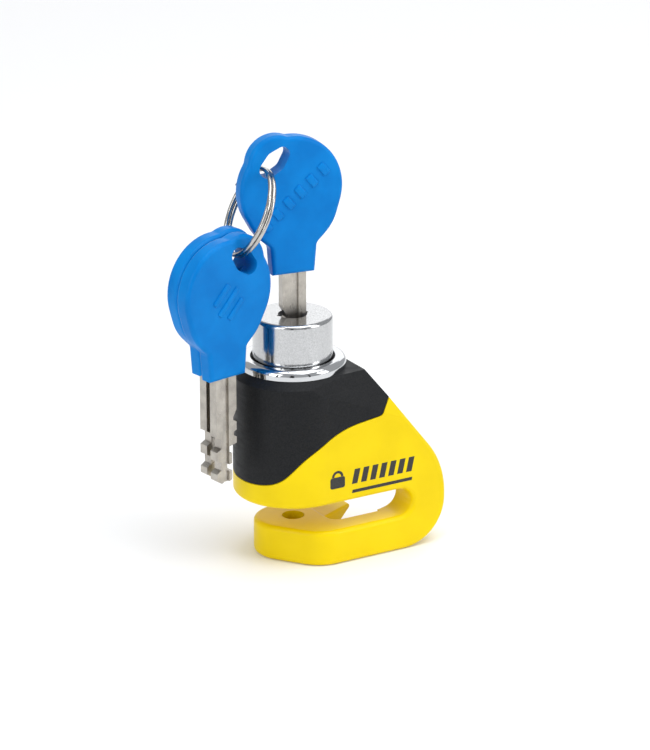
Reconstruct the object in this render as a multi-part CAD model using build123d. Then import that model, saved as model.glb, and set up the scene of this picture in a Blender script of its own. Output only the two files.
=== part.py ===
from build123d import *
import os
from math import cos, sin, radians

# Compact push-down disc brake lock, in millimetres.
# Origin: the plunger's axis where it meets the flat underside of the lower jaw.
# +Z runs up the plunger, +X runs from the barrel to the closed end of the disc slot.

# ---- casting and cover ----
barrel_r = 15.7            # outside radius of the barrel
side_y = -15.6             # flat side face, tangent to the barrel
tail_thickness = 9.6
tail_x = 37.6              # closed end of the casting
top_z = 51.7               # top face of the cover
slope_x = 13.8             # where the top face meets the sloping back
slope_foot_z = 21.6        # where the sloping back's line meets the end of the tail
back_r = 23.0              # rounding between the sloping back and the end of the tail
toe_r = 12.5               # rounding between the end of the tail and the underside
edge_r = 1.3               # soft cast edges
jaw_z = 9.5                # floor of the disc slot
slot_height = 7.6
slot_end_x = 27.3
ceiling_z = jaw_z + slot_height
shoulder = 2.0             # bevel round the top of the cover
cover_wall = 1.2
cover_gap = 0.2            # open line between the cover's edge and the painted casting

# ---- lower jaw ----
finger_r = 9.0             # tip of the jaw, under the plunger
finger_at = (-1.3, 0.5)
finger_side_x = 7.4        # side of the tip that faces along the slot
jaw_corner_r = 10.0
jaw_corner_at = (4.5, -5.6)
arm_back_y = -8.0          # far edge of the arm beside the slot
arm_end_x = 21.0           # where the arm runs into the tail
heel_r = 4.3               # wedge-shaped heel that spreads from the tip, just under the slot floor
heel_at = (15.6, 4.8)
heel_rise = 32.6           # slope of the heel's underside, in degrees
heel_foot_x = 5.7          # where that slope meets the underside
heel_drop = 0.8
jaw_hole_r = 2.97
jaw_hole_floor = 3.2

# ---- plunger ----
plunger_r = 10.4
plunger_top = 65.35
plunger_bottom = 33.0
plunger_stroke = 10.8
run = 0.08                 # radial running clearance
bore_r = plunger_r + run
bore_floor = 21.0
sleeve_r = 7.7             # inside radius of the plunger sleeve
face_wall = 1.2
key_turn = -8.0            # direction of the keyway about Z, in degrees

# ---- collar ----
collar_r = 13.9
collar_top = 54.3
collar_seat_r = 12.2
collar_seat_z = 46.0

# ---- locking pin and its carrier ----
pin_r = 2.5
pin_tip_z = 17.4
carrier_z = 36.5
carrier_top = 46.1
carrier_r = sleeve_r - 0.02
pin_head_z = 42.0
cross_pin_r = 1.0
cross_pin_z = 40.0
spring_seat_z = 38.5
spring_wire_r = 0.45
spring_r = 5.3
stop_pin_r = 1.5
stop_pin_z = 38.0
latch_z = 42.6             # underside of the latch bolt
latch_height = 3.4
latch_half = 3.2
latch_travel = 0.8

# ---- lock core ----
rotor_r = sleeve_r - run
rotor_z = 47.0
rotor_top = 64.0
rotor_floor = 48.2
disc_r = 6.25
disc_thickness = 1.5
spacer_thickness = 0.5
disc_count = 7
slot_clear = 0.1

# ---- keys ----
blade_width = 6.6
blade_thickness = 2.6
blade_length = 28.4
tang_length = 10.0
head_thickness = 4.6
head_discs = [(14.0, (-0.8, 22.4)), (12.6, (-0.4, 18.8)), (8.5, (-0.2, 13.2))]
ear_r = 7.7
ear_at = (-4.9, 29.4)
ring_hole_discs = [(2.3, (-7.4, 28.6)), (2.85, (-5.4, 30.4)), (2.0, (-3.5, 32.2))]
key_a_z = 76.8             # underside of the inserted key's head
hanging_turn = 11.0        # how the two hanging keys face, in degrees about Z

# ---- split ring ----
ring_r = 11.5              # centre line of the wire
wire_r = 0.55
coil_pitch = 1.15
coil_turns = 2
ring_in_key_a = (-7.6, 28.2)     # where the wire crosses the inserted key's plane
ring_in_key_b = (5.6, 31.3)      # and the planes of the two hanging keys
ring_in_key_c = (6.2, 30.1)
ring_up = Vector(0.455, 0.121, 0.883).normalized()
ring_axis = Vector(0.886, -0.162, -0.434)
ring_axis = (ring_axis - ring_up * ring_axis.dot(ring_up)).normalized()
ring_across = ring_up.cross(ring_axis)
hang_spread = 13.5         # each hanging key sits this far round the ring from its lowest point


def block(x0, x1, y0, y1, z0, z1):
    return Pos((x0 + x1) / 2, (y0 + y1) / 2, (z0 + z1) / 2) * Box(x1 - x0, y1 - y0, z1 - z0)


def rod(radius, z0, z1):
    return Pos(0, 0, (z0 + z1) / 2) * Cylinder(radius, z1 - z0)


def ring(outer, inner, z0, z1):
    return rod(outer, z0, z1) - rod(inner, z0 - 1, z1 + 1)


def disc_at(radius, centre):
    return Pos(centre[0], centre[1]) * Circle(radius)


def hull(*discs):
    return make_hull([edge for disc in discs for edge in disc.edges()])


def vertex_near(face, x, y):
    return sorted(face.vertices(), key=lambda v: (v.X - x) ** 2 + (v.Y - y) ** 2)[:1]


def side_outline():
    """Outline of the casting seen square to its flat side, in X and Z."""
    corners = [(-20, 0), (tail_x, 0), (tail_x, slope_foot_z), (slope_x, top_z), (-20, top_z)]
    face = make_face(Polyline(*corners, close=True))
    face = fillet(vertex_near(face, tail_x, 0), toe_r)
    return fillet(vertex_near(face, tail_x, slope_foot_z), back_r)


def side_profile(inset):
    face = side_outline()
    if inset:
        face = offset(face, -inset, kind=Kind.INTERSECTION)
    return extrude(Plane.XZ * face, 20, both=True)


def slot_outline():
    radius = slot_height / 2
    straight = slot_end_x - radius
    middle = jaw_z + radius
    mouth = Pos(straight / 2 - 15, middle) * Rectangle(straight + 30, slot_height)
    return mouth + Pos(straight, middle) * Circle(radius)


def tail_plate():
    """Flat tail round the closed end of the slot, with soft edges on both sides."""
    face = side_outline() - slot_outline()
    face -= Pos(-10, 30) * Rectangle(20, 80)
    face -= Pos(0, 0) * Rectangle(2 * arm_end_x, 2 * jaw_z + 0.2)
    plate = Pos(0, side_y, 0) * extrude(Plane.XZ * face, -tail_thickness)
    back = side_y + tail_thickness
    rims = plate.edges().filter_by(lambda e: min(abs(e.center().Y - y) for y in (side_y, back)) < 0.01
                                   and e.center().X > 1 and abs(e.center().X - arm_end_x) > 0.01
                                   and e.center().Z < top_z - 0.1)
    taper = make_face(Polyline((arm_end_x - 1, arm_back_y), (arm_end_x + 0.5, arm_back_y), (slot_end_x, back),
                               (slot_end_x, back + 1), (arm_end_x - 1, back + 1), close=True))
    return fillet(rims, edge_r) - extrude(taper, jaw_z + slot_height / 2)


def upper_outline(inset):
    """Barrel and tail seen from above."""
    back = side_y + tail_thickness - inset
    front = side_y + inset
    end = tail_x + 1
    tail = Pos(end / 2, (front + back) / 2) * Rectangle(end, back - front)
    radius = barrel_r - inset
    face = Circle(radius) + tail
    return fillet(vertex_near(face, (radius ** 2 - back ** 2) ** 0.5, back), 5.0)


def shoulder_cut(inset):
    """Waste in front of the bevelled facet at the cover's upper tail corner."""
    a = Vector(-2, side_y, 48.6)
    b = Vector(18.3, side_y, 39.8)
    c = Vector(slope_x, side_y + 2.5, top_z)
    outward = (b - a).cross(c - a).normalized()
    waste = Plane(origin=c - outward * inset, z_dir=outward)
    return waste * Pos(0, 0, 20) * Box(120, 120, 40)


def plain_upper(inset):
    """Barrel and tail above the slot, bevelled at the top and square at every other edge."""
    body = extrude(upper_outline(inset), top_z) & side_profile(inset)
    body -= block(-30, 60, -30, 30, -5, ceiling_z)
    top = body.faces().sort_by(Axis.Z)[-1]
    rim = top.edges().filter_by(lambda e: e.center().X < slope_x - inset - 1.5)
    return chamfer(rim, shoulder) - shoulder_cut(inset)


def upper_body():
    barrel = rod(barrel_r, ceiling_z, top_z)
    barrel = fillet(barrel.edges().sort_by(Axis.Z)[0], edge_r)
    barrel = chamfer(barrel.edges().sort_by(Axis.Z)[-1], shoulder)
    web = plain_upper(0) & block(0, 18.5, -8, 10, ceiling_z, top_z + 1)
    waste = block(-1, 20, side_y - 1, -6, 44, top_z + 1) - plain_upper(0)
    return barrel + web + (tail_plate() - waste) - shoulder_cut(0)


def inner_core():
    """Casting under the cover, one wall thickness inside the outer shape."""
    return plain_upper(cover_wall) - block(-30, 60, -30, 30, -5, ceiling_z + cover_wall)


def cover_region(gap):
    """Everything above the S-shaped lower edge of the cover."""
    edge = [(-17, 22.9), (-13.5, 23.4), (-11, 24.6), (-7.1, 28.7), (-3.9, 31.7), (-0.8, 33.7),
            (3.6, 36.2), (7, 37.5), (11.5, 38.4), (17.6, 39.2)]
    curve = Spline(*edge)
    rest = Polyline(edge[-1], (20.6, 43.9), (24, 50), (24, 60), (-17, 60), edge[0])
    face = make_face(Curve() + [curve, rest])
    face = fillet(vertex_near(face, *edge[-1]), 1.6)
    return extrude(Plane.XZ * Pos(gap * 0.7, -gap) * face, 25, both=True)


def lower_jaw():
    """Jaw tip under the plunger, its arm along the flat side, and the low heel beside the slot."""
    finger = hull(disc_at(finger_r, finger_at), disc_at(jaw_corner_r, jaw_corner_at))
    reach = arm_end_x + 2.5
    arm = Pos((5 + reach) / 2, (side_y + arm_back_y) / 2) * Rectangle(reach - 5, arm_back_y - side_y)
    finger -= Pos(finger_side_x + 10, 2 + arm_back_y + 10) * Rectangle(20, 24)
    face = fillet(vertex_near(Sketch() + finger + arm, finger_side_x, arm_back_y), 2.5)
    jaw = extrude(face, jaw_z)
    rims = jaw.edges().filter_by(lambda e: abs(e.center().Z - jaw_z / 2) > 4 and e.center().X < reach - 0.01)
    jaw = fillet(rims, edge_r)
    heel = extrude(hull(disc_at(finger_r - 1.6, finger_at), disc_at(heel_r, heel_at)), jaw_z - heel_drop)
    heel -= Pos(heel_foot_x, 0, 0) * Rot(0, -heel_rise, 0) * block(-20, 60, -30, 30, -30, 0)
    top = heel.edges().filter_by(lambda e: abs(e.center().Z - jaw_z + heel_drop) < 0.01)
    heel = fillet(top, 0.6)
    return jaw + heel - rod(jaw_hole_r, jaw_hole_floor, jaw_z + 1)


def body_casting():
    body = upper_body() - cover_region(cover_gap) + inner_core() + lower_jaw()
    body -= rod(bore_r, bore_floor, top_z + 1)
    body -= rod(collar_seat_r, collar_seat_z, top_z + 1)
    body -= rod(pin_r + run, ceiling_z - 1, bore_floor + 1)
    body -= stop_pin(0)
    pocket_z = latch_z - plunger_stroke - 0.3
    reach = bore_r + 1.5
    body -= block(bore_r - 1, reach, -latch_half - 0.4, latch_half + 0.4, pocket_z, pocket_z + latch_height + 0.6)
    return body


def barrel_cover():
    shell = (upper_body() & cover_region(0)) - inner_core()
    return shell - rod(collar_seat_r, 40, top_z + 1)


def stop_pin(tip):
    """Dowel through the barrel's wall, square to the flat side, that keys the plunger."""
    start = plunger_r - 0.9 + tip
    return Pos(0, 0, stop_pin_z) * Rot(-90, 0, 0) * Pos(0, 0, start) * Cylinder(
        stop_pin_r, barrel_r - cover_wall - 0.3 - start, align=(Align.CENTER, Align.CENTER, Align.MIN))


def collar_bezel():
    lip = plunger_r + 0.5
    outline = Polyline((bore_r, collar_seat_z), (collar_seat_r, collar_seat_z), (collar_seat_r, top_z),
                       (collar_r, top_z), (collar_r, collar_top), (lip, collar_top), (lip, 53.5),
                       (plunger_r + 1.1, 53.5), (plunger_r + 1.1, 51.9), (bore_r, 51.9), close=True)
    face = make_face(outline)
    face = fillet(vertex_near(face, collar_r, collar_top), 1.7)
    face = fillet(vertex_near(face, lip, collar_top), 0.4)
    return revolve(Plane.XZ * face, Axis.Z)


def wiper_seal():
    face = Pos(plunger_r + 0.58, 52.7) * RectangleRounded(0.96, 1.5, 0.4)
    return revolve(Plane.XZ * face, Axis.Z)


def keyway(width, thickness):
    return Rot(0, 0, key_turn) * Rectangle(width, thickness)


def plunger_sleeve():
    face = make_face(Polyline((0, plunger_bottom), (plunger_r, plunger_bottom), (plunger_r, plunger_top),
                              (0, plunger_top), close=True))
    face = fillet(vertex_near(face, plunger_r, plunger_top), 1.0)
    sleeve = revolve(Plane.XZ * face, Axis.Z) - rod(sleeve_r, plunger_bottom - 1, plunger_top - face_wall)
    lens = (Pos(0, 3.0) * Circle(5.3)) & (Pos(0, -3.0) * Circle(5.3))
    mouth = Circle(3.75) + Rot(0, 0, key_turn) * lens
    sleeve -= Pos(0, 0, plunger_top - 3) * extrude(mouth, 6)
    window_top = latch_z + latch_height + 0.1
    sleeve -= block(sleeve_r - 1, plunger_r + 1, -latch_half - 0.1, latch_half + 0.1, latch_z - 0.1, window_top)
    travel = block(-stop_pin_r - 0.1, stop_pin_r + 0.1, plunger_r - 1.2, plunger_r + 1,
                   stop_pin_z - stop_pin_r - 0.1, stop_pin_z + stop_pin_r + plunger_stroke + 0.1)
    groove = block(-sleeve_r - 0.8, -sleeve_r + 1, -0.9, 0.9, 49, 62)
    sleeve -= travel
    sleeve -= groove
    sleeve -= rod(sleeve_r + 0.5, carrier_top + 0.1, carrier_top + 0.8)
    return sleeve - Pos(0, 0, cross_pin_z) * Rot(0, 90, 0) * Cylinder(cross_pin_r, 19.6)


def rotor_clip():
    clip = ring(sleeve_r + 0.45, sleeve_r - 1.5, carrier_top + 0.15, carrier_top + 0.75)
    return clip - block(-1.5, 1.5, -12, 0, carrier_top - 1, carrier_top + 2)


def pin_carrier():
    carrier = rod(carrier_r, carrier_z, carrier_top)
    carrier -= rod(6.4, carrier_z - 1, spring_seat_z)
    carrier -= rod(pin_r, carrier_z, pin_head_z)
    carrier -= block(-6.6, 12, -latch_half - 0.05, latch_half + 0.05, latch_z - 0.05, carrier_top + 1)
    return carrier - Pos(0, 0, cross_pin_z) * Rot(0, 90, 0) * Cylinder(cross_pin_r, 24)


def locking_pin():
    pin = rod(pin_r, pin_tip_z, pin_head_z)
    pin = chamfer(pin.edges().sort_by(Axis.Z)[0], 0.7)
    return pin - Pos(0, 0, cross_pin_z) * Rot(0, 90, 0) * Cylinder(cross_pin_r, 24)


def carrier_cross_pin():
    return Pos(0, 0, cross_pin_z) * Rot(0, 90, 0) * Cylinder(cross_pin_r, 19.4)


def coil_spring(radius, wire, length, turns):
    path = Helix(length / turns, length, radius)
    section = Plane(path @ 0, z_dir=path % 0) * Circle(wire)
    return sweep(section, path, is_frenet=True)


def return_spring():
    free = spring_seat_z - bore_floor - 2 * spring_wire_r - 0.1
    return Pos(0, 0, bore_floor + spring_wire_r + 0.05) * coil_spring(spring_r, spring_wire_r, free, 5.5)


def peg_at():
    return Pos(0, -latch_travel, 0)


def latch_bolt():
    bolt = block(-3.6, 12, -latch_half, latch_half, latch_z, latch_z + latch_height)
    bolt &= rod(plunger_r - 0.1, latch_z - 1, carrier_top + 1)
    slot = block(-1.3, 1.3, -latch_travel - 1.25, 1.25, latch_z - 1, carrier_top + 1)
    return bolt - slot


def latch_spring():
    length = 6.6 - 3.6 - latch_travel - 2 * 0.2 - 0.06    # at its fully compressed length
    spring = coil_spring(1.1, 0.2, length, 4)
    return Pos(-6.6 + 0.23, 0, latch_z + latch_height / 2) * Rot(0, 90, 0) * spring


def rotor_tube():
    rotor = rod(rotor_r, rotor_z, rotor_top) - rod(disc_r, rotor_floor, rotor_top + 1)
    rotor -= block(-rotor_r - 1, -disc_r + 0.5, -0.75, 0.75, 49.2, 61.8)
    peg = peg_at() * rod(1.0, latch_z + 0.3, rotor_z + 0.5)
    return rotor + peg


def core_disc(z, thickness):
    disc = rod(disc_r - 0.05, z, z + thickness)
    slot = Pos(0, 0, z - 1) * extrude(keyway(blade_width + 2 * slot_clear, blade_thickness + 2 * slot_clear), thickness + 2)
    return disc - slot - block(-disc_r - 1, -disc_r + 0.55, -0.8, 0.8, z - 1, z + thickness + 1)


def code_disc_z(number):
    return rotor_floor + 0.1 + number * (disc_thickness + spacer_thickness)


def spacer_washers():
    return Compound(children=[core_disc(code_disc_z(n) + disc_thickness, spacer_thickness - 0.02)
                              for n in range(disc_count)])


def front_guard_disc():
    return core_disc(code_disc_z(disc_count), rotor_top - code_disc_z(disc_count))


def sidebar():
    return block(-rotor_r + 0.02, -disc_r + 0.5, -0.7, 0.7, 49.3, 61.7)


def key_plane(turn):
    """Key outlines are drawn in X (across the blade) and Z, then turned about Z."""
    return Plane((0, 0, 0), x_dir=(cos(radians(turn)), sin(radians(turn)), 0),
                 z_dir=(sin(radians(turn)), -cos(radians(turn)), 0))


def blade_outline():
    """Blade with its seven code cuts, hanging down from the underside of the head."""
    w = blade_width / 2
    return make_face(Polyline(
        (-w, tang_length), (w, tang_length), (w, -15.6), (w - 1.5, -16.4), (w - 1.5, -18.9), (w, -19.6),
        (w, -22.0), (w - 1.4, -22.8), (w - 1.4, -24.8), (w, -25.6), (w, -27.4), (w - 1.4, -blade_length),
        (-0.9, -blade_length), (-1.7, -27.9), (-1.7, -25.5), (-0.6, -25.5), (-0.6, -23.8), (-1.7, -23.6),
        (-1.7, -20.8), (-0.9, -20.6), (-0.9, -18.9), (-w, -18.4), (-w, -16.7), (-w + 0.9, -16.2),
        (-w + 0.9, -15.2), (-w, -14.8), (-w, -12.6), (-w + 1.1, -12.0), (-w + 1.1, -11.2), (-w, -9.2), close=True))


def key_blade(turn):
    blade = extrude(key_plane(turn) * blade_outline(), blade_thickness / 2, both=True)
    groove = Pos(0.2, -blade_length / 2 - 0.5) * Rectangle(1.9, blade_length + 1)
    for side in (1, -1):
        face = key_plane(turn).offset(side * (blade_thickness / 2 - 0.6))
        blade -= extrude(face * groove, side * 2)
    return blade


def head_outline():
    """Egg-shaped head with an ear for the ring and a neck that narrows towards the blade."""
    egg = hull(*[disc_at(radius, centre) for radius, centre in head_discs])
    neck = make_face(Polyline((-6.0, 0), (5.5, 0), (6.2, 8), (6.2, 11), (-6.6, 11), (-6.6, 8), close=True))
    face = Sketch() + egg + disc_at(ear_r, ear_at) + neck
    face = fillet(vertex_near(face, -6.6, 7.6) + vertex_near(face, 6.2, 7.6), 1.8)
    return fillet(vertex_near(face, 1.2, 35.0) + vertex_near(face, -12.8, 28.0), 2.5)


def key_head(turn):
    head = extrude(key_plane(turn) * head_outline(), head_thickness / 2, both=True)
    rims = head.edges().filter_by(lambda e: abs(abs((key_plane(turn).to_local_coords(e.center())).Z)
                                                - head_thickness / 2) < 0.01)
    head = fillet(rims, 1.1)
    hole = hull(*[disc_at(radius, centre) for radius, centre in ring_hole_discs])
    return head - extrude(key_plane(turn) * hole, 10, both=True) - key_blade(turn)


def ring_point(angle):
    """Point on the split ring's centre line, 0 at the inserted key, 180 at the lowest point."""
    a = radians(angle)
    return ring_centre + (ring_up * cos(a) + ring_across * sin(a)) * ring_r


def in_plane(turn, place):
    return Vector(place[0] * cos(radians(turn)), place[0] * sin(radians(turn)), place[1])


def split_ring():
    helix = Helix(coil_pitch, coil_pitch * coil_turns, ring_r)
    wire = sweep(Plane(helix @ 0, z_dir=helix % 0) * Circle(wire_r), helix, is_frenet=True)
    seat = Plane(ring_centre, x_dir=ring_up * cos(radians(60)) + ring_across * sin(radians(60)), z_dir=ring_axis)
    return seat * Pos(0, 0, -coil_pitch * coil_turns / 2) * wire


key_a_place = Vector(0, 0, key_a_z)
ring_hang = key_a_place + in_plane(key_turn, ring_in_key_a)
ring_centre = ring_hang - ring_up * ring_r
key_b_pivot = ring_point(180 + hang_spread)
key_c_pivot = ring_point(180 - hang_spread)
key_b_place = key_b_pivot - in_plane(hanging_turn, ring_in_key_b)
key_c_place = key_c_pivot - in_plane(hanging_turn, ring_in_key_c)
flip = Rot(0, 0, 180)      # the hanging keys show their other side

nodes = {
    "body_casting": body_casting(),
    "barrel_cover": barrel_cover(),
    "collar_bezel": collar_bezel(),
    "wiper_seal": wiper_seal(),
    "travel_stop_pin": stop_pin(0),
    "return_spring": return_spring(),
    "plunger_sleeve": plunger_sleeve(),
    "pin_carrier": pin_carrier(),
    "locking_pin": locking_pin(),
    "carrier_cross_pin": carrier_cross_pin(),
    "rotor_clip": rotor_clip(),
    "latch_bolt": latch_bolt(),
    "latch_spring": latch_spring(),
    "rotor_tube": rotor_tube(),
    "front_guard_disc": front_guard_disc(),
    "spacer_washers": spacer_washers(),
    "sidebar": sidebar(),
    "key_a_blade": Pos(*key_a_place) * key_blade(key_turn),
    "key_a_head": Pos(*key_a_place) * key_head(key_turn),
    "key_b_blade": Pos(*key_b_place) * flip * key_blade(hanging_turn),
    "key_b_head": Pos(*key_b_place) * flip * key_head(hanging_turn),
    "key_c_blade": Pos(*key_c_place) * flip * key_blade(hanging_turn),
    "key_c_head": Pos(*key_c_place) * flip * key_head(hanging_turn),
    "split_ring": split_ring(),
}
for number in range(disc_count):
    nodes[f"code_disc_{number + 1}"] = core_disc(code_disc_z(number), disc_thickness)

os.makedirs("parts", exist_ok=True)
for name, shape in nodes.items():
    export_step(shape, f"parts/{name}.step")

print("ring hinge at", ring_hang, "about", ring_across)
print("key b hinge at", key_b_pivot, "key c hinge at", key_c_pivot)
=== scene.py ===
import math

import bpy
from mathutils import Matrix, Vector


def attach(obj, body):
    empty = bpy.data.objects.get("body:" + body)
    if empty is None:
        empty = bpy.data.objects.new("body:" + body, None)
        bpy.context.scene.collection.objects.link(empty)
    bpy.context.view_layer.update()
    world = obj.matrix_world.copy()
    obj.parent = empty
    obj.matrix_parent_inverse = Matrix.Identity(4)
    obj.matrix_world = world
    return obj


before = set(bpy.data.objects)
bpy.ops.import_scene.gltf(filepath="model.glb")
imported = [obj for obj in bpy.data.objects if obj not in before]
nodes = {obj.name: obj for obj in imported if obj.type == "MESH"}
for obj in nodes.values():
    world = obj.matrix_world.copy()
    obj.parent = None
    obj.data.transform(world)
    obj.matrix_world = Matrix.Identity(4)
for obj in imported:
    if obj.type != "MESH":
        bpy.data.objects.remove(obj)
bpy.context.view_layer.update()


# ---- painted casting ----
# The body is one zinc casting with soft, rounded edges. It is sprayed in a thick gloss enamel,
# which shows a faint orange peel and very slight changes of depth.

def new_finish(name, colour, metallic, roughness):
    material = bpy.data.materials.new(name)
    material.use_nodes = True
    shader = material.node_tree.nodes["Principled BSDF"]
    shader.inputs["Base Color"].default_value = (*colour, 1)
    shader.inputs["Metallic"].default_value = metallic
    shader.inputs["Roughness"].default_value = roughness
    return material, shader


def speckle(material, per_metre, stretch=(1, 1, 1), turn=(0, 0, 0), detail=3.0):
    """Noise on the piece's own coordinates; stretch above 1 makes the grain finer that way."""
    tree = material.node_tree
    where = tree.nodes.new("ShaderNodeTexCoord")
    mapping = tree.nodes.new("ShaderNodeMapping")
    mapping.inputs["Scale"].default_value = stretch
    mapping.inputs["Rotation"].default_value = [math.radians(a) for a in turn]
    noise = tree.nodes.new("ShaderNodeTexNoise")
    noise.inputs["Scale"].default_value = per_metre
    noise.inputs["Detail"].default_value = detail
    tree.links.new(where.outputs["Object"], mapping.inputs["Vector"])
    tree.links.new(mapping.outputs["Vector"], noise.inputs["Vector"])
    return noise.outputs["Fac"]


def shade_between(material, shader, factor, dark, light, low=0.35, high=0.65):
    tree = material.node_tree
    ramp = tree.nodes.new("ShaderNodeValToRGB")
    ramp.color_ramp.elements[0].position = low
    ramp.color_ramp.elements[0].color = (*dark, 1)
    ramp.color_ramp.elements[1].position = high
    ramp.color_ramp.elements[1].color = (*light, 1)
    tree.links.new(factor, ramp.inputs["Fac"])
    tree.links.new(ramp.outputs["Color"], shader.inputs["Base Color"])


def gloss_between(material, shader, factor, smooth, rough, low=0.3, high=0.7):
    tree = material.node_tree
    spread = tree.nodes.new("ShaderNodeMapRange")
    spread.inputs["From Min"].default_value = low
    spread.inputs["From Max"].default_value = high
    spread.inputs["To Min"].default_value = smooth
    spread.inputs["To Max"].default_value = rough
    tree.links.new(factor, spread.inputs["Value"])
    tree.links.new(spread.outputs["Result"], shader.inputs["Roughness"])


def relief(material, shader, height, depth, strength):
    tree = material.node_tree
    bump = tree.nodes.new("ShaderNodeBump")
    bump.inputs["Distance"].default_value = depth
    bump.inputs["Strength"].default_value = strength
    tree.links.new(height, bump.inputs["Height"])
    tree.links.new(bump.outputs["Normal"], shader.inputs["Normal"])


def dress(names, material):
    for name in names:
        nodes[name].data.materials.clear()
        nodes[name].data.materials.append(material)


enamel, shader = new_finish("yellow enamel", (0.86, 0.66, 0.004), 0.0, 0.34)
shader.inputs["Specular IOR Level"].default_value = 0.12
shader.inputs["Coat Weight"].default_value = 0.05
shader.inputs["Coat Roughness"].default_value = 0.08
shade_between(enamel, shader, speckle(enamel, 70), (0.78, 0.57, 0.001), (0.84, 0.625, 0.002))
relief(enamel, shader, speckle(enamel, 1100, detail=1.0), 0.00004, 0.35)
dress(["body_casting"], enamel)


# ---- barrel cover ----
# A thin shell wraps the top of the barrel and runs down the side in an S-shaped edge. Its matt
# black powder coat has a fine grain, and its gloss varies a little where hands have rubbed it.

powder_coat, shader = new_finish("black powder coat", (0.018, 0.019, 0.022), 0.0, 0.48)
shade_between(powder_coat, shader, speckle(powder_coat, 2600, detail=2.0),
              (0.007, 0.008, 0.009), (0.013, 0.0135, 0.015))
shader.inputs["Specular IOR Level"].default_value = 0.16
gloss_between(powder_coat, shader, speckle(powder_coat, 240, (1, 1, 4), (0, 35, 0)), 0.40, 0.56)
relief(powder_coat, shader, speckle(powder_coat, 3000, detail=2.0), 0.00003, 0.3)
dress(["barrel_cover"], powder_coat)


# ---- printed mark ----
# The flat side carries a black pad-printed mark, low on the tail. It is drawn here as a plain
# padlock sign with a row of slanted bars and a thin rule, each a film of ink on the enamel.

flat_side_y = -0.0156
ink_film = 0.00004
lock_case_width, lock_case_height, lock_case_corner = 0.0044, 0.0031, 0.0006
shackle_rise, shackle_foot = 0.0016, 0.0015
shackle_radius, shackle_half_line = 0.00135, 0.00036
bar_count, bar_pitch = 7, 0.00275
ink, shader = new_finish("printing ink", (0.012, 0.012, 0.012), 0.0, 0.42)
gloss_between(ink, shader, speckle(ink, 900), 0.36, 0.5)
shade_between(ink, shader, speckle(ink, 1800), (0.010, 0.010, 0.010), (0.022, 0.021, 0.018))


def only(obj):
    bpy.ops.object.select_all(action="DESELECT")
    obj.select_set(True)
    bpy.context.view_layer.objects.active = obj


def edit_selected(obj, choose):
    """Opens the piece in edit mode with only the vertices that choose picks selected."""
    only(obj)
    bpy.ops.object.mode_set(mode="EDIT")
    bpy.ops.mesh.select_mode(type="VERT")
    bpy.ops.mesh.select_all(action="DESELECT")
    bpy.ops.object.mode_set(mode="OBJECT")
    for vertex in obj.data.vertices:
        vertex.select = choose(vertex.co)
    bpy.ops.object.mode_set(mode="EDIT")


def join_pieces(parts, name):
    only(parts[0])
    for part in parts[1:]:
        part.select_set(True)
    if len(parts) > 1:
        bpy.ops.object.join()
    whole = bpy.context.view_layer.objects.active
    whole.name = name
    bpy.ops.object.transform_apply(location=True, rotation=True, scale=True)
    return whole


def ink_bar(x, z, width, height, lean):
    bpy.ops.object.select_all(action="DESELECT")
    bpy.ops.mesh.primitive_cube_add(size=1, location=(x, flat_side_y, z), scale=(width, ink_film, height))
    bar = bpy.context.object
    bpy.ops.object.transform_apply(location=False, rotation=False, scale=True)
    edit_selected(bar, lambda co: co.z > 0)
    bpy.ops.transform.translate(value=(lean, 0, 0))
    bpy.ops.object.mode_set(mode="OBJECT")
    return bar


def ink_padlock(x, z):
    bpy.ops.object.select_all(action="DESELECT")
    bpy.ops.mesh.primitive_cube_add(size=1, location=(x, flat_side_y, z),
                                    scale=(lock_case_width, ink_film, lock_case_height))
    case = bpy.context.object
    bpy.ops.object.transform_apply(location=False, rotation=False, scale=True)
    only(case)
    bpy.ops.object.mode_set(mode="EDIT")
    bpy.ops.mesh.select_mode(type="EDGE")
    bpy.ops.mesh.select_all(action="DESELECT")
    bpy.ops.object.mode_set(mode="OBJECT")
    for edge in case.data.edges:
        a, b = (case.data.vertices[i].co for i in edge.vertices)
        edge.select = abs(a.y - b.y) > ink_film / 2
    bpy.ops.object.mode_set(mode="EDIT")
    bpy.ops.mesh.bevel(offset=lock_case_corner, segments=4)
    bpy.ops.object.mode_set(mode="OBJECT")
    bpy.ops.object.select_all(action="DESELECT")
    bpy.ops.mesh.primitive_torus_add(location=(x, flat_side_y, z + shackle_rise),
                                     rotation=(math.pi / 2, 0, 0),
                                     major_radius=shackle_radius, minor_radius=shackle_half_line,
                                     major_segments=40, minor_segments=8)
    shackle = bpy.context.object
    bpy.ops.object.transform_apply(location=False, rotation=True, scale=True)
    edit_selected(shackle, lambda co: True)
    bpy.ops.transform.resize(value=(1, ink_film / (2 * shackle_half_line), 1))
    bpy.ops.mesh.bisect(plane_co=(x, flat_side_y, z + shackle_foot), plane_no=(0, 0, 1),
                        use_fill=True, clear_inner=True)
    bpy.ops.object.mode_set(mode="OBJECT")
    return [case, shackle]


ink_parts = ink_padlock(0.0043, 0.0230)
ink_parts += [ink_bar(0.0094 + bar_pitch * n, 0.0238, 0.0017, 0.0040, 0.0009) for n in range(bar_count)]
ink_parts.append(ink_bar(0.0177, 0.0197, 0.0182, 0.0009, 0.0002))
printed_mark = join_pieces(ink_parts, "printed_mark")
printed_mark.data.materials.append(ink)
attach(printed_mark, "lock_body")


# ---- plunger ----
# The lock cylinder's sleeve is turned steel under satin chrome. Its side is finely grained from
# sliding in the bore, and the rounded top edge and face are polished brighter.

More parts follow.
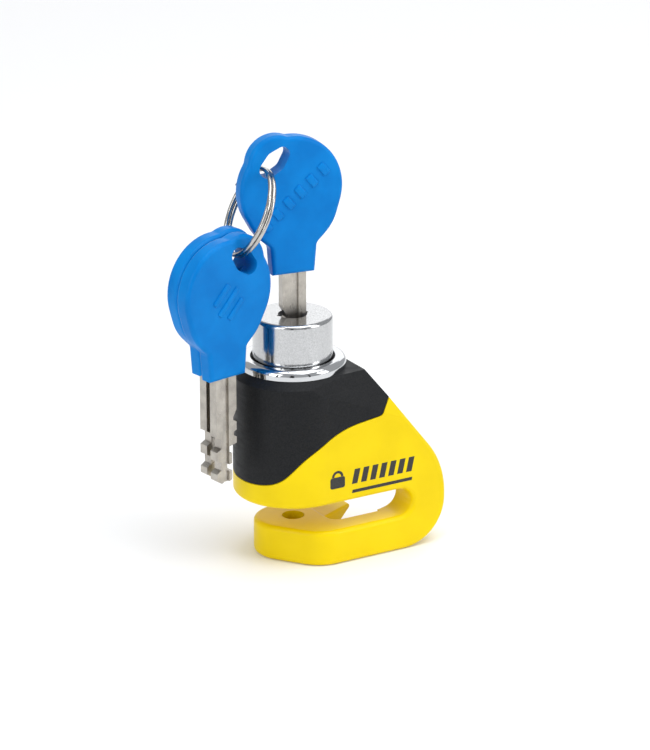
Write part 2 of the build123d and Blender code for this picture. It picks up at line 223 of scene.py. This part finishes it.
chrome, shader = new_finish("satin chrome", (0.56, 0.565, 0.57), 1.0, 0.2)
shade_between(chrome, shader, speckle(chrome, 4200), (0.42, 0.425, 0.43), (0.60, 0.605, 0.61))
gloss_between(chrome, shader, speckle(chrome, 5600, (1, 1, 2)), 0.10, 0.22)
relief(chrome, shader, speckle(chrome, 5200, (1, 1, 2), detail=2.0), 0.00001, 0.3)
dress(["plunger_sleeve"], chrome)


# ---- collar ----
# A polished chrome ring is pressed into the mouth of the barrel and holds the cover in place.
# The wiper seal is a thin rubber lip that shows as a dark line inside it.

bright_chrome, shader = new_finish("polished chrome", (0.60, 0.61, 0.62), 1.0, 0.07)
gloss_between(bright_chrome, shader, speckle(bright_chrome, 700, (1, 1, 5)), 0.05, 0.12)
relief(bright_chrome, shader, speckle(bright_chrome, 260, detail=1.0), 0.00003, 0.15)
dress(["collar_bezel"], bright_chrome)

seal_rubber, shader = new_finish("seal rubber", (0.018, 0.018, 0.018), 0.0, 0.62)
gloss_between(seal_rubber, shader, speckle(seal_rubber, 1500), 0.55, 0.72)
relief(seal_rubber, shader, speckle(seal_rubber, 2500), 0.00005, 0.4)
dress(["wiper_seal"], seal_rubber)


# ---- lock core ----
# A brass rotor, its code discs and a dark hardened guard disc turn behind the keyway. Only the
# guard disc shows through the mouth of the plunger.

turned_brass, shader = new_finish("turned brass", (0.72, 0.53, 0.24), 1.0, 0.3)
gloss_between(turned_brass, shader, speckle(turned_brass, 700, (1, 1, 8)), 0.22, 0.4)
relief(turned_brass, shader, speckle(turned_brass, 900, (1, 1, 10)), 0.00002, 0.3)
dress(["rotor_tube", "pin_carrier"] + [f"code_disc_{n}" for n in range(1, 8)], turned_brass)

guard_steel, shader = new_finish("blackened guard steel", (0.10, 0.10, 0.11), 1.0, 0.4)
gloss_between(guard_steel, shader, speckle(guard_steel, 1500), 0.32, 0.5)
shade_between(guard_steel, shader, speckle(guard_steel, 800), (0.07, 0.07, 0.08), (0.16, 0.16, 0.17))
dress(["front_guard_disc"], guard_steel)


# ---- pins, latch and springs ----
# The locking pin and the small hardware inside are ground or drawn steel. Only the tip of the
# pin can be seen, through the slot, when the plunger is down.

ground_steel, shader = new_finish("ground steel", (0.56, 0.57, 0.59), 1.0, 0.28)
gloss_between(ground_steel, shader, speckle(ground_steel, 1100, (1, 1, 12)), 0.2, 0.38)
relief(ground_steel, shader, speckle(ground_steel, 1200, (1, 1, 14)), 0.00002, 0.3)
dress(["locking_pin", "carrier_cross_pin", "travel_stop_pin", "latch_bolt", "sidebar",
       "spacer_washers"], ground_steel)

spring_wire, shader = new_finish("drawn spring wire", (0.40, 0.40, 0.42), 1.0, 0.34)
gloss_between(spring_wire, shader, speckle(spring_wire, 1600), 0.28, 0.44)
shade_between(spring_wire, shader, speckle(spring_wire, 600), (0.34, 0.34, 0.36), (0.46, 0.46, 0.48))
dress(["return_spring", "latch_spring", "rotor_clip"], spring_wire)


# ---- key blades ----
# The three blades are nickel silver, milled along their length and left with a soft brushed
# sheen; the cuts are a little rougher than the flats.

nickel_silver, shader = new_finish("nickel silver", (0.44, 0.41, 0.37), 1.0, 0.3)
shade_between(nickel_silver, shader, speckle(nickel_silver, 300), (0.38, 0.355, 0.32), (0.50, 0.47, 0.42))
gloss_between(nickel_silver, shader, speckle(nickel_silver, 800, (6, 6, 1)), 0.24, 0.42)
relief(nickel_silver, shader, speckle(nickel_silver, 1000, (8, 8, 1)), 0.00003, 0.35)
dress([f"key_{k}_blade" for k in "abc"], nickel_silver)


# ---- key heads ----
# Each head is moulded round its blade in mid-blue plastic with a satin skin, a rounded rim and
# a slot for the ring. Plain raised ribs stand on the broad faces as a grip.

blue_plastic, shader = new_finish("blue plastic", (0.008, 0.19, 0.62), 0.0, 0.36)
shade_between(blue_plastic, shader, speckle(blue_plastic, 120), (0.001, 0.165, 0.52), (0.002, 0.205, 0.60))
shader.inputs["Specular IOR Level"].default_value = 0.09
gloss_between(blue_plastic, shader, speckle(blue_plastic, 700), 0.30, 0.42)
relief(blue_plastic, shader, speckle(blue_plastic, 2200, detail=2.0), 0.00004, 0.3)
dress([f"key_{k}_head" for k in "abc"], blue_plastic)

head_half = 0.0023
head_centre = (-0.0002, 0.0205)


def key_matrix(place, turn, side):
    """From a key's own axes (across, out of the face, up) to the lock's, for one of its two faces."""
    across = Vector((math.cos(math.radians(turn)), math.sin(math.radians(turn)), 0))
    out = Vector((math.sin(math.radians(turn)), -math.cos(math.radians(turn)), 0)) * side
    matrix = Matrix((across, -out, Vector((0, 0, 1)))).transposed().to_4x4()
    matrix.translation = Vector(place)
    return matrix


def raised_rib(radius, angle, length, width, height):
    """A rounded rib on the near face of a head, at a radius and angle from the head's centre."""
    bpy.ops.object.select_all(action="DESELECT")
    bpy.ops.mesh.primitive_cube_add(size=1, location=(0, 0, 0), scale=(length, height * 2, width))
    rib = bpy.context.object
    bpy.ops.object.transform_apply(location=False, rotation=False, scale=True)
    edit_selected(rib, lambda co: True)
    bpy.ops.mesh.bevel(offset=height * 0.75, segments=3)
    bpy.ops.object.mode_set(mode="OBJECT")
    bpy.ops.object.shade_smooth_by_angle(angle=math.radians(50))
    a = math.radians(angle)
    rib.matrix_world = (Matrix.Translation((head_centre[0] + radius * math.cos(a), -head_half,
                                            head_centre[1] + radius * math.sin(a)))
                        @ Matrix.Rotation(-a, 4, "Y"))
    return rib


def place_on_key(piece, matrix, body):
    piece.data.transform(matrix)
    piece.data.materials.append(blue_plastic)
    only(piece)
    bpy.ops.object.mode_set(mode="EDIT")
    bpy.ops.mesh.select_all(action="SELECT")
    bpy.ops.mesh.normals_make_consistent(inside=False)
    bpy.ops.object.mode_set(mode="OBJECT")
    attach(piece, body)


key_a_place = (0, 0, 0.0768)
key_a_turn = -8
hanging_turn = 11
rib_lean, rib_pitch = 40, 0.0041
for side, face in ((1, "front"), (-1, "back")):
    ribs = []
    for step in (-2.5, -1.5, -0.5, 0.5, 1.5, 2.5):
        rib = raised_rib(0, rib_lean - 90, 0.0034, 0.0021, 0.00045)
        along = rib_pitch * step
        lean = math.radians(rib_lean)
        shift = Matrix.Translation((along * math.cos(lean), 0, along * math.sin(lean)))
        rib.matrix_world = shift @ rib.matrix_world
        ribs.append(rib)
    place_on_key(join_pieces(ribs, f"key_a_grip_{face}"), key_matrix(key_a_place, key_a_turn, side), "key_a")

hanging = {"b": (-0.0235795, -0.0053827, 0.0541706), "c": (-0.0236826, -0.0002388, 0.0543997)}
for key, place in hanging.items():
    for side, face in ((1, "front"), (-1, "back")):
        ribs = [raised_rib(radius, angle, length, 0.0015, 0.0004)
                for radius, angle, length in ((0.0032, 45, 0.0066), (0, 135, 0.0088), (0.0032, 225, 0.0066))]
        for rib in (ribs[0], ribs[2]):
            rib.matrix_world = rib.matrix_world @ Matrix.Rotation(math.radians(90), 4, "Y")
        grip = join_pieces(ribs, f"key_{key}_grip_{face}")
        facing_out = key_matrix(place, hanging_turn, side) @ Matrix.Rotation(math.pi, 4, "Z")
        place_on_key(grip, facing_out, f"key_{key}")


# ---- split ring ----
# Two turns of round spring wire, nickel plated, carry the three keys. The plating is bright,
# with small changes of gloss and tone along the wire.

ring_nickel, shader = new_finish("nickel-plated wire", (0.48, 0.47, 0.45), 1.0, 0.16)
shade_between(ring_nickel, shader, speckle(ring_nickel, 500), (0.40, 0.39, 0.37), (0.55, 0.54, 0.52))
gloss_between(ring_nickel, shader, speckle(ring_nickel, 1300), 0.10, 0.26)
dress(["split_ring"], ring_nickel)


# ---- floor, lights and camera ----
# The lock stands on a plain pale floor under soft studio panels: one overhead, one behind and
# one on each side. Three dark cards in front of it show only in reflections, as streaks in the chrome.

bpy.ops.object.select_all(action="DESELECT")
bpy.ops.mesh.primitive_plane_add(size=8, location=(0, 0, 0))
sweep = bpy.context.object
sweep.name = "sweep"
pale, shader = new_finish("pale sweep", (0.93, 0.93, 0.93), 0.0, 0.8)
sweep.data.materials.append(pale)

world = bpy.data.worlds.new("studio")
bpy.context.scene.world = world
bpy.context.scene.view_settings.view_transform = "Standard"
world.use_nodes = True
world.node_tree.nodes["Background"].inputs["Color"].default_value = (0.95, 0.97, 1.0, 1)
world.node_tree.nodes["Background"].inputs["Strength"].default_value = 0.52


lock_middle = Vector((0, 0, 0.05))


def panel(name, place, width, height, watts):
    """A soft light turned towards the middle of the lock."""
    light = bpy.data.lights.new(name, "AREA")
    light.shape = "RECTANGLE"
    light.size, light.size_y = width, height
    light.energy = watts
    lamp = bpy.data.objects.new(name, light)
    bpy.context.scene.collection.objects.link(lamp)
    lamp.location = place
    lamp.rotation_euler = (lock_middle - Vector(place)).to_track_quat("-Z", "Y").to_euler()


panel("overhead panel", (0.1, -0.15, 0.95), 0.8, 0.8, 6.0)
panel("back panel", (0.55, 1.0, 0.42), 1.3, 0.6, 2.5)
panel("left panel", (-0.75, -0.30, 0.40), 0.35, 0.6, 2.3)
panel("right panel", (0.60, -0.70, 0.45), 0.35, 0.6, 3.0)

card_finish, shader = new_finish("dark card", (0.012, 0.012, 0.013), 0.0, 0.9)
card_height = 0.5
cards = (((-0.26, -0.42, 0.12), 0.075), ((-0.42, -0.22, 0.12), 0.045), ((0.05, -0.50, 0.12), 0.03))
for place, width in cards:
    bpy.ops.object.select_all(action="DESELECT")
    bpy.ops.mesh.primitive_plane_add(size=1, location=(0, 0, 0))
    card = bpy.context.object
    card.name = "dark card"
    facing = Vector((place[0], place[1], 0)).to_track_quat("Z", "Y").to_matrix().to_4x4()
    card.data.transform(Matrix.Translation(place) @ facing @ Matrix.Diagonal((width, card_height, 1, 1)))
    card.data.materials.append(card_finish)
    card.visible_camera = card.visible_diffuse = card.visible_shadow = False

camera = bpy.data.objects.new("camera", bpy.data.cameras.new("camera"))
bpy.context.scene.collection.objects.link(camera)
bpy.context.scene.camera = camera
camera.data.lens = 171.81
camera.data.sensor_width = 36
back = Vector((-0.4775, -0.8089, 0.3430)).normalized()
right = Vector((0.8611, -0.5084, 0)).normalized()
stand = Matrix((right, back.cross(right), back)).transposed().to_4x4()
stand.translation = (-0.435166, -0.753551, 0.366270)
camera.matrix_world = stand
camera.data.clip_start, camera.data.clip_end = 0.05, 20
